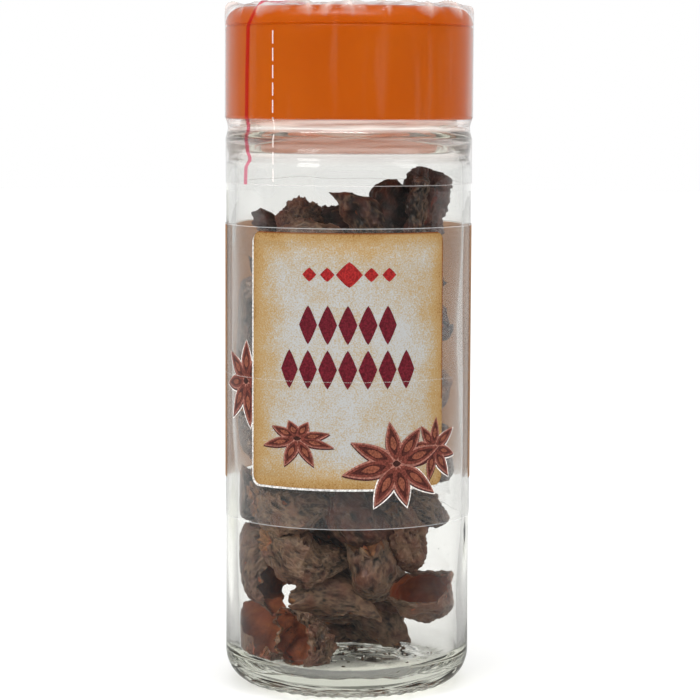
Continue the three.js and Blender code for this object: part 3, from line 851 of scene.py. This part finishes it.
def film_band():
    """The film itself, a little loose on the glass."""
    segments = 240
    levels = 40
    vertices = []
    for z in np.linspace(LABEL_LOW.z, LABEL_HIGH.z, levels):
        for i in range(segments):
            angle = 2 * math.pi * i / segments
            place = Vector((math.sin(angle), -math.cos(angle), z * 40))
            radius = LABEL_R - FILM_SLACK + noise.noise(place * 2.4) * FILM_SLACK
            vertices.append((radius * math.sin(angle), -radius * math.cos(angle), z))
    return vertices, grid_faces(levels, segments, closed=True)


def round_label(start, end, steps, heights):
    """Rows of film or print round the label between two angles."""
    return [[(LABEL_R * a, z) for a in np.linspace(start, end, steps)] for z in heights]


milky_film = film_material("label_film", 0.045, (205, 205, 203), 0.08)
label_film = new_piece("label_film", film_band(), [milky_film])
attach(label_film, "root")
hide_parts("label")

# fine bright edge where the film is cut
cut_edges = [
    round_label(-math.pi, math.pi, 241, (low, low + FILM_EDGE))
    for low in (LABEL_LOW.z, LABEL_HIGH.z - FILM_EDGE)
]
printed("label_cut_edges", cut_edges, 0, film_material("film_edge", 0.4, (235, 235, 235), 0.2))

panel_half = PANEL_HALF * LABEL_R
keyline = rounded_panel(panel_half, PANEL_BOTTOM_Z - KEYLINE, PANEL_TOP_Z - KEYLINE, PANEL_CORNER)
keyline = [[(across - KEYLINE, height) for across, height in row] for row in keyline]
printed("panel_keyline", [keyline], 2, ink_material("white_ink", (206, 204, 200)))
panel = rounded_panel(panel_half, PANEL_BOTTOM_Z, PANEL_TOP_Z, PANEL_CORNER)
printed("panel", [panel], 2.4, parchment_material())

# a faint crease runs across the label's front
crease = round_label(-1.6, 1.0, 120, (CREASE_Z, CREASE_Z + FILM_EDGE))
printed("label_fold", [crease], 5, film_material("film_fold", 0.22, (235, 232, 225), 0.2))

back_heights = np.linspace(PANEL_BOTTOM_Z - 0.3 * MM, LABEL_HIGH.z - 0.2 * MM, 12)
back = round_label(math.pi - BACK_HALF, math.pi + BACK_HALF, 160, back_heights)
tan_ink = let_light_through(ink_material("tan_ink", (190, 141, 98)), 0.5, (186, 134, 90))
printed("back_print", [back], 1, tan_ink)


# ---- The panel's ornament ----
# A plain traditional frieze of lozenges, one small row in worn red over two tall rows in wine red,
# printed on the parchment in two inks. Sizes in mm.
RED_ROW = dict(height=70.8, tall=4.2, places=(-6.4, -3.4, 0.2, 3.8, 6.8), widths=(2.4, 2.4, 4.4, 2.4, 2.4))
WINE_ROWS = [
    dict(height=62.6, tall=6.4, places=[3.3 * k for k in range(-2, 3)], widths=[3.1] * 5),
    dict(height=55.3, tall=6.4, places=[3.3 * k for k in range(-3, 4)], widths=[3.1] * 7),
]


def lozenges(row):
    """A row of upright lozenges, each as tall as its width allows, in metres."""
    shapes = []
    for place, width in zip(row["places"], row["widths"]):
        tall = row["tall"] * width / max(row["widths"])
        shape = []
        for t in np.linspace(-1, 1, 13):
            reach = width / 2 * (1 - abs(t)) ** 0.8
            height = row["height"] + t * tall / 2
            shape.append([((place + side * reach) * MM, height * MM) for side in np.linspace(-1, 1, 9)])
        shapes.append(shape)
    return shapes


printed("red_lozenges", lozenges(RED_ROW), 3, ink_material("red_ink", (142, 34, 34)))
wine_shapes = [shape for row in WINE_ROWS for shape in lozenges(row)]
printed("wine_lozenges", wine_shapes, 3, ink_material("wine_ink", (94, 26, 36)))


# ---- Printed star anise ----
# Pictures of whole star anise at the panel's foot and on the film beside it, as plain lens-shaped
# petals: dark husk, pinkish rim, brown hollow and a seed, edged in white where they leave the panel.
# Lean makes the petals at the back of a star shorter than those in front. Sizes in mm.
STARS = {
    "beside": dict(
        centre=(-19.6, 52.6), reach=8.0, turn=5, squash=1.0, lean=0.0, seed=11, layer=0.4, edged=range(8)
    ),
    "left": dict(
        centre=(-8.4, 43.9), reach=7.0, turn=20, squash=0.66, lean=0.22, seed=3, layer=3, edged=()
    ),
    "small": dict(
        centre=(15.6, 41.9), reach=6.0, turn=35, squash=0.95, lean=0.1, seed=8, layer=3, edged=(0, 6, 7)
    ),
    "large": dict(
        centre=(8.3, 39.8), reach=9.0, turn=12, squash=0.96, lean=0.0, seed=5, layer=4.6, edged=(5, 6, 7)
    ),
}
STAR_PETALS = 8
STAR_INK_STEP = 0.22
STAR_INKS = {
    "star_edge": (226, 220, 214),
    "star_husk": (72, 38, 38),
    "star_rim": (148, 98, 86),
    "star_hollow": (106, 55, 46),
    "star_shade": (70, 36, 32),
    "star_seed": (126, 72, 55),
    "star_eye": (58, 34, 30),
}


def petal(centre, angle, start, end, half, squash):
    """Rows of a lens-shaped petal from start to end out of a centre."""
    rows = []
    for t in np.linspace(0, 1, 15):
        out = start + (end - start) * t
        wide = half * math.sin(math.pi * t**0.8) ** 0.9
        row = []
        for side in np.linspace(-1, 1, 5):
            x = out * math.cos(angle) - side * wide * math.sin(angle)
            y = out * math.sin(angle) + side * wide * math.cos(angle)
            row.append(((centre[0] + x) * MM, (centre[1] + squash * y) * MM))
        rows.append(row)
    return rows


def star_shapes(star):
    """One star's shapes for each of its inks, and the eye where its petals meet last."""
    random = np.random.default_rng(star["seed"])
    shapes = {ink: [] for ink in STAR_INKS}
    centre, squash = star["centre"], star["squash"]
    below = (centre[0], centre[1] - 0.22)
    for k in range(STAR_PETALS):
        angle = math.radians(star["turn"] + 360 * k / STAR_PETALS + random.uniform(-7, 7))
        end = star["reach"] * random.uniform(0.82, 1.05) * (1 - star["lean"] * math.sin(angle))
        half = star["reach"] * random.uniform(0.15, 0.185)
        if k in star["edged"]:
            shapes["star_edge"].append(petal(below, angle, -0.3, end + 0.35, half + 0.3, squash))
        shapes["star_husk"].append(petal(below, angle, 0.0, end + 0.05, half + 0.06, squash))
        shapes["star_rim"].append(petal(centre, angle, 0.0, end, half, squash))
        shapes["star_hollow"].append(petal(centre, angle, end * 0.08, end * 0.94, half * 0.78, squash))
        shapes["star_shade"].append(petal(centre, angle, end * 0.2, end * 0.84, half * 0.5, squash))
        shapes["star_seed"].append(petal(centre, angle, end * 0.32, end * 0.66, half * 0.38, squash))
    shapes["star_eye"].append(petal(centre, 0.0, -0.75, 0.75, 0.55, squash))
    return shapes


star_inks = {ink: ink_material(f"{ink}_ink", colour) for ink, colour in STAR_INKS.items()}
for place, star in STARS.items():
    for level, (ink, shapes) in enumerate(star_shapes(star).items()):
        if shapes:
            printed(f"{ink}_{place}", shapes, star["layer"] + STAR_INK_STEP * level, star_inks[ink])


# ---- The cap ----
# A screw cap of moulded orange plastic, smooth and slightly soft in gloss, with a fine groove under
# its rounded lid. It is screwed down over the neck, close above the jar's shoulder.
CAP_LOW, CAP_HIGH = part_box("cap")
CAP_R = CAP_HIGH.x
CAP_WALL = 1.4 * MM
CAP_EDGE_R = 2.9 * MM
LIP_R = 0.3 * MM
SEAM_Z = 111.3 * MM
SEAM_HALF = 0.28 * MM
SEAM_DEPTH = 0.3 * MM
CAP_SEGMENTS = 192


def cap_profile():
    """The cap from under the middle of its lid, down the inside, and up the outside."""
    inside, under = CAP_R - CAP_WALL, CAP_HIGH.z - CAP_WALL
    below = [(0.0, under), (inside - CAP_WALL, under), (inside, under - CAP_WALL), (inside, CAP_LOW.z)]
    groove = [
        (CAP_R - SEAM_DEPTH * math.cos(a) ** 2, SEAM_Z + SEAM_HALF * a * 2 / math.pi)
        for a in np.radians(np.linspace(-90, 90, 7))
    ]
    lip = arc(CAP_R - LIP_R, CAP_LOW.z + LIP_R, LIP_R, LIP_R, -90, 0, 4)
    edge = arc(CAP_R - CAP_EDGE_R, CAP_HIGH.z - CAP_EDGE_R, CAP_EDGE_R, CAP_EDGE_R, 4, 90, 12)
    return below + lip + line(lip[-1], groove[0], 8) + groove + edge + [(0.0, CAP_HIGH.z)]


def cap_material(name, dark, light, share, glow):
    """Moulded plastic, a little uneven in colour and gloss, that glows where light falls through it."""
    mat, tree, shader = new_material(name, {"Specular IOR Level": 0.2})
    swirl = {"Place": place_on_piece(tree), "Scale": 90, "Detail": 4, "Low": 0.3, "High": 0.7}
    tone = use_group(tree, UNEVEN_TONE, {**swirl, "Dark": srgb(*dark), "Light": srgb(*light)})
    gloss = spread(tree, tone["Cloud"], 0.0, 1.0, 0.26, 0.36)
    set_inputs(tree, shader, {"Base Color": tone["Color"], "Roughness": gloss})
    return let_light_through(mat, share, glow)


cap_outside = cap_material("orange_plastic", (182, 82, 0), (188, 89, 0), 0.35, (255, 140, 10))
# Inside, the plastic is painted a pale pinkish white: painted glow for the light that shines through the
# orange cap.
cap_inside = cap_material("orange_plastic_inside_painted_glow", (252, 206, 180), (255, 214, 190), 0.8, (255, 236, 226))
screw_cap = new_piece("screw_cap", turned(cap_profile(), CAP_SEGMENTS), [cap_outside, cap_inside])
# the profile's first three steps are the inside
within = [int(k < 3 * CAP_SEGMENTS) for k in range(len(screw_cap.data.polygons))]
screw_cap.data.polygons.foreach_set("material_index", within)
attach(screw_cap, "root")
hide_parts("cap")


# ---- The shrink seal ----
# A tube of clear film shrunk over the cap and the neck. It gathers in sharp crinkles over the lid's
# rounded edge, and has a red tear stripe beside a line of white perforations.
SLEEVE_LOW, SLEEVE_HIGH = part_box("seal_sleeve")
FILM_LIFT = 0.09 * MM
SLEEVE_R = GLASS_R + FILM_LIFT
SLEEVE_EYE_R = 9 * MM
SLEEVE_SEGMENTS = 420
BRIDGE_Z = 92.6 * MM
BRIDGE_HEIGHT = 3.6 * MM
BRIDGE_SAG = 0.45 * MM
SIDE_LOW_Z = 96.4 * MM
SIDE_HIGH_Z = 111.4 * MM
CROWN_Z = 110.2 * MM
CROWN_RISE = 3.2 * MM
CROWN_DEPTH = 6 * MM
FOLD_OUT = 0.12 * MM
CRINKLE = 0.95 * MM
CORNER_BULGE = 0.1
FILM_MAX_R = SLEEVE_HIGH.x - 0.01 * MM
STRIPE_HEIGHTS = (85.0, 88.0, 89.3, 90.6, 93.0, 96.0, 104.0, 111.0, 114.0)
STRIPE_ANGLES = (-54.8, -54.4, -50.8, -53.2, -54.4, -53.6, -53.2, -52.4, -46.0)
STRIPE_WIDTH = 1.0 * MM
STRIPE_LIFT = 0.03 * MM
DASH_ANGLE = math.radians(-36.2)
DASH_WIDTH = 0.26 * MM
DASH_LENGTH = 2.1 * MM
DASH_PITCH = 2.8 * MM
DASH_LIFT = 0.04 * MM
DASHES_FROM_Z = SLEEVE_LOW.z + 0.6 * MM
DASHES_TO_Z = 110 * MM
# How pale the neck's film is from the glass's groove up to the cap, partly its own milkiness and partly
# painted light standing in for bright reflections there: a place from 0 to 1, and the paleness there.
NECK_LOW_Z = 88 * MM
NECK_HIGH_Z = 96 * MM
NECK_ENDS = ((0.0, 0.0), (1.0, 0.0))
NECK_BANDS = ((0.24, 0.22), (0.4, 0.22), (0.47, 0.16), (0.7, 0.2), (0.76, 0.5), (0.96, 0.4))


def sleeve_skin():
    """The sleeve's (radius, height) line from its lower edge up over the lid."""
    side = [(SLEEVE_R, z) for z in np.linspace(SLEEVE_LOW.z, BRIDGE_Z, 16)]
    bridge = []
    for t in np.linspace(0, 1, 10)[1:]:
        radius = SLEEVE_R + (CAP_R - GLASS_R) * t - BRIDGE_SAG * math.sin(math.pi * t)
        bridge.append((radius, BRIDGE_Z + BRIDGE_HEIGHT * t))
    cap_side = [(CAP_R + FILM_LIFT, z) for z in np.linspace(SIDE_LOW_Z, SIDE_HIGH_Z, 34)]
    edge = []
    for a in np.radians(np.linspace(2, 90, 23)):
        reach = (CAP_EDGE_R + FILM_LIFT) * (1 + CORNER_BULGE * math.sin(2 * a) ** 2)
        radius = CAP_R - CAP_EDGE_R + reach * math.cos(a)
        edge.append((radius, CAP_HIGH.z - CAP_EDGE_R + reach * math.sin(a)))
    top = [(r, CAP_HIGH.z + FILM_LIFT) for r in np.linspace(CAP_R - CAP_EDGE_R, SLEEVE_EYE_R, 22)[1:]]
    return side + bridge + cap_side + edge + top


def crinkle(angle, radius, height):
    """How far the film stands off the lid's rounded edge and top, from 0 to about 1."""
    crown = min(max((height - CROWN_Z) / CROWN_RISE, 0), 1)
    inward = min(max((CAP_R - radius) / CROWN_DEPTH, 0), 1)
    round_x, round_y = math.sin(angle), math.cos(angle)
    wander = noise.noise(Vector((3 * round_x, 3 * round_y, 0.7))) * 1.6
    gather = 0.5 + 0.5 * math.sin(13 * angle + wander * 2)
    sharp = abs(noise.noise(Vector((4.6 * round_x, 4.6 * round_y, radius * 190 + height * 80))))
    crossing = noise.noise(Vector((3.2 * round_x, 3.2 * round_y, radius * 150 + 2)))
    crease = 1 - min(1, 4.5 * abs(crossing))
    return crown**2 * (0.3 * gather**3 + 1.1 * sharp + 0.45 * crease**2) * (1 - 0.25 * inward)


def sleeve_place(angle, radius, height):
    """A place on the sleeve with its crinkles: gathers over the lid's edge, long soft folds below."""
    lift = CRINKLE * crinkle(angle, radius, height)
    fold = noise.noise(Vector((4.5 * math.sin(angle), 4.5 * math.cos(angle), height * 55)))
    out = FOLD_OUT * max(fold, -0.2) + 0.25 * lift
    radius = min(radius + out, FILM_MAX_R)
    height = min(height + lift, SLEEVE_HIGH.z - 0.02 * MM)
    return radius * math.sin(angle), -radius * math.cos(angle), height


def sleeve_sheet(angles, skin, lift=0.0, lean=None, closed=False):
    """Part of the sleeve between these angles. Lean gives how far each height leans to the side."""
    vertices = []
    for r, z in skin:
        aside = lean(z) if lean else 0.0
        up = lift if r < CAP_R - CAP_EDGE_R else 0.0
        vertices += [sleeve_place(a + aside, r + lift, z + up) for a in angles]
    return vertices, grid_faces(len(skin), len(angles), closed=closed)


def stripe_lean(z):
    """The tear stripe wanders: its angle at height z."""
    return math.radians(np.interp(z / MM, STRIPE_HEIGHTS, STRIPE_ANGLES))


def pale_folds_and_painted_sheen(tree):
    """How pale the film turns: where it stands in folds at the crown; in soft streaks down the side, a
    painted sheen of its soft folds; and in bands round the neck, where it bridges from the cap to the
    shoulder, partly its own milkiness and partly painted light standing in for the bright reflections there."""
    place = place_on_piece(tree)

    def streaks(stretch, low, high, least, most):
        return spread(tree, clouds(tree, stretched(tree, place, stretch), 1.0, 3), low, high, least, most)

    up = add_node(tree, "SeparateXYZ", {0: place}).outputs["Z"]
    stops = [(stop, (pale, pale, pale, 1)) for stop, pale in NECK_ENDS + NECK_BANDS]
    bands = ramp(tree, spread(tree, up, NECK_LOW_Z, NECK_HIGH_Z, 0.0, 1.0), stops)
    # partly painted light: paler bands round the neck stand in for bright reflections there
    neck = calc(tree, "MULTIPLY", bands, streaks((90, 90, 1500), 0.35, 0.65, 0.4, 1.3))
    crown = spread(tree, mark(tree, "fold"), 0.25, 1.0, 0.0, 0.5)
    # painted sheen: pale streaks down the side where soft folds would catch the light
    side = streaks((330, 330, 26), 0.54, 0.78, 0.0, 0.045)
    return calc(tree, "MAXIMUM", calc(tree, "MAXIMUM", neck, side), crown)


SKIN = sleeve_skin()
round_angles = [2 * math.pi * i / SLEEVE_SEGMENTS for i in range(SLEEVE_SEGMENTS)]
seal_film = film_material("shrink_film", pale_folds_and_painted_sheen, (240, 226, 218), 0.05)
shrink_film = new_piece("shrink_film", sleeve_sheet(round_angles, SKIN, closed=True), [seal_film])
folds = [crinkle(angle, r, z) for r, z in SKIN for angle in round_angles]
shrink_film.data.attributes.new("fold", "FLOAT", "POINT").data.foreach_set("value", folds)

stripe_half = STRIPE_WIDTH / 2 / CAP_R
stripe_across = list(np.linspace(-stripe_half, stripe_half, 7))
stripe_sheet = sleeve_sheet(stripe_across, SKIN, STRIPE_LIFT, stripe_lean)
red_film = film_material("red_tear_film", 0.05, (214, 40, 50), 0.15, clear=(0.95, 0.38, 0.5))
tear_stripe = new_piece("tear_stripe", stripe_sheet, [red_film])

dash_vertices, dash_faces = [], []
dash_half = DASH_WIDTH / 2 / CAP_R
dash_angles = list(np.linspace(DASH_ANGLE - dash_half, DASH_ANGLE + dash_half, 3))
sleeve_side = [(r, z) for r, z in SKIN if z <= SIDE_HIGH_Z]
for dash_z in np.arange(DASHES_FROM_Z, DASHES_TO_Z, DASH_PITCH):
    levels = np.linspace(dash_z, dash_z + DASH_LENGTH, 9)
    radii = np.interp(levels, [z for _, z in sleeve_side], [r for r, _ in sleeve_side])
    own_vertices, own_faces = sleeve_sheet(dash_angles, list(zip(radii, levels)), DASH_LIFT)
    dash_faces += [tuple(len(dash_vertices) + i for i in f) for f in own_faces]
    dash_vertices += own_vertices
pierced_film = film_material("pale_perforation", 0.55, (250, 240, 235), 0.4)
tear_dashes = new_piece("tear_dashes", (dash_vertices, dash_faces), [pierced_film])

low_edge = [(SKIN[0][0], SKIN[0][1] + rise) for rise in (0, FILM_EDGE)]
edge_sheet = sleeve_sheet(round_angles + [2 * math.pi], low_edge)
edge_film = film_material("sleeve_edge", 0.3, (235, 230, 228), 0.2)
sleeve_cut_edge = new_piece("sleeve_cut_edge", edge_sheet, [edge_film])
for piece in (shrink_film, tear_stripe, tear_dashes, sleeve_cut_edge):
    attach(piece, "root")
    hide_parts("seal_sleeve")


# ---- Studio ----
# A pale round table in a white room that is dimmer in front, with soft boxes at both sides and above
# and a narrow strip that only shines back from glossy things. What glass and film mirror straight
# away of the room's front is darker, as with a dark screen round the lens.
JAR_MIDDLE = Vector((0, 0, 60 * MM))
GREY_SCREEN = (0.12, 0.12, 0.12, 1)


def mirrored_once(tree):
    """1 in what a shiny surface mirrors straight away, and otherwise 0."""
    return calc(tree, "COMPARE", add_node(tree, "LightPath").outputs["Glossy Depth"], 1.0, 0.5)


def studio_floor():
    """A matt table that glows a little away from the jar, so that it stays white to its rim."""
    matt = {"Base Color": (0.88, 0.88, 0.87, 1), "Roughness": 0.9, "Emission Color": (1, 1, 1, 1)}
    mat, tree, pale = new_material("pale_floor", matt)
    place = add_node(tree, "NewGeometry").outputs["Position"]
    away = add_node(tree, "VectorMath", {0: place}, "LENGTH").outputs["Value"]
    set_inputs(tree, pale, {"Emission Strength": spread(tree, away, 0.08, 0.8, 0.04, 0.34)})
    dark = add_node(tree, "Emission", {"Color": GREY_SCREEN})
    along = add_node(tree, "SeparateXYZ", {0: place}).outputs["Y"]
    in_front = spread(tree, along, -0.06, 0.12, 1.0, 0.0)
    screened = calc(tree, "MULTIPLY", mirrored_once(tree), in_front, clamp=True)
    show(tree, mix_shaders(tree, screened, pale, dark))
    disc = turned([(0.0, 0.0), (0.3, 0.0), (0.8, 0.0), (2.4, 0.0)], 96)
    floor = new_piece("studio_floor", disc, [mat])


def soft_box(name, place, width, height, power, mirrored=True, lights=True):
    """A rectangular lamp aimed at the jar's middle."""
    lamp = bpy.data.lights.new(name, "AREA")
    lamp.shape = "RECTANGLE"
    lamp.size = width
    lamp.size_y = height
    lamp.energy = power
    holder = in_scene(name, lamp)
    holder.location = place
    holder.rotation_euler = (JAR_MIDDLE - Vector(place)).to_track_quat("-Z", "Y").to_euler()
    holder.visible_glossy = mirrored
    holder.visible_diffuse = lights
    holder.visible_transmission = lights


def studio_world():
    """The room: dimmer in front, darker still there when mirrored, and white where it is seen."""
    world = bpy.data.worlds.new("white_room")
    bpy.context.scene.world = world
    world.use_nodes = True
    tree = world.node_tree
    way = add_node(tree, "TexCoord").outputs["Generated"]
    along = add_node(tree, "SeparateXYZ", {0: way}).outputs["Y"]

    def pick(share, first, second):
        return add_node(tree, "Mix", {"Factor": share, 2: first, 3: second}).outputs[0]

    lit = spread(tree, along, -0.8, 0.3, 0.5, 1.1)
    mirrored = spread(tree, along, 0.15, 1.0, 0.06, 1.0)
    room = pick(mirrored_once(tree), lit, mirrored)
    strength = pick(add_node(tree, "LightPath").outputs["Is Camera Ray"], room, 1.0)
    set_inputs(tree, tree.nodes["Background"], {"Color": (1, 1, 1, 1), "Strength": strength})


def studio_camera():
    """Five and a half degrees down, 450 mm in front, a hair to the right of the axis."""
    camera = bpy.data.cameras.new("studio_camera")
    camera.sensor_width = 36
    camera.lens = 136.6
    camera.clip_start = 0.01
    pitch = math.radians(5.44)
    roll = 0.0042
    holder = in_scene("studio_camera", camera)
    holder.matrix_world = (
        Matrix.Translation((0.354 * MM, -450.2 * MM, 99.5 * MM))
        @ Matrix.Rotation(math.radians(90) - pitch, 4, "X")
        @ Matrix.Rotation(roll, 4, "Z")
    )
    bpy.context.scene.camera = holder


studio_floor()
studio_world()
soft_box("left_soft_box", (-0.5, -0.55, 0.42), width=0.3, height=0.4, power=3.0, mirrored=False)
soft_box("right_soft_box", (0.6, -0.3, 0.4), width=0.3, height=0.5, power=1.6, mirrored=False)
soft_box("top_soft_box", (0.0, -0.15, 0.8), width=0.6, height=0.4, power=2.4)
soft_box("glint_strip", (-0.1, -0.3, 0.75), width=0.7, height=0.12, power=6.0, lights=False)
studio_camera()
scene = bpy.context.scene
scene.view_settings.view_transform = "Standard"
scene.cycles.max_bounces = 32
scene.cycles.glossy_bounces = 24
scene.cycles.transmission_bounces = 24
scene.cycles.transparent_max_bounces = 32
scene.cycles.use_denoising = True
